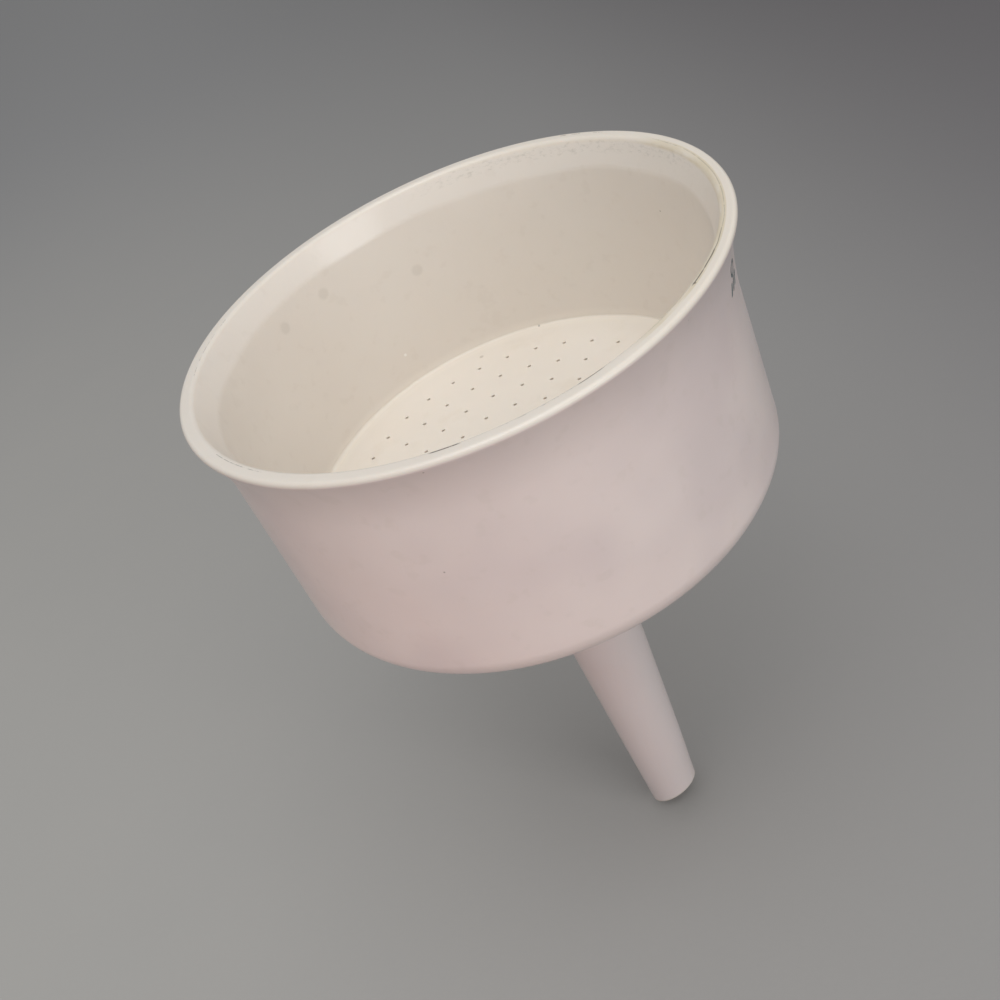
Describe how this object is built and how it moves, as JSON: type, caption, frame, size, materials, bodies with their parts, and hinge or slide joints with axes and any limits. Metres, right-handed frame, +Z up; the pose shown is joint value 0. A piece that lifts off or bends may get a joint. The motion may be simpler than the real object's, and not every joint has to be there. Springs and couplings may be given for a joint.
{
  "type": "buchner funnel",
  "caption": "White glazed porcelain vacuum-filtration funnel: flared straight-walled bowl with a fixed perforated plate, domed underside and a long tapered stem with a slanted tip.",
  "frame": {"origin": "on the funnel's axis, level with the lowest point of the slanted stem tip", "axes": "+Z up the axis from the stem tip to the mouth; +Y through a hole of the outermost ring of holes"},
  "size_m": [0.133, 0.133, 0.204],
  "materials": {
    "glazed_porcelain": "warm white, soft gloss glaze",
    "plate_porcelain": "thin cream glaze over the drilled plate",
    "stem_porcelain": "warm white, soft gloss glaze, bare on the ground tip",
    "glazed_slip": "porcelain slip under the same glaze",
    "bare_slip": "unglazed fired slip",
    "underglaze_print": "thin dark teal print under the glaze"
  },
  "bodies": {
    "root": {"bowl": "glazed_porcelain", "perforated_plate": "plate_porcelain", "plate_bedding_ring": "bare_slip", "plate_luting_bead": "glazed_slip", "stem": "stem_porcelain", "stem_luting_ring": "glazed_slip", "printed_mark": "underglaze_print"}
  },
  "joints": []
}
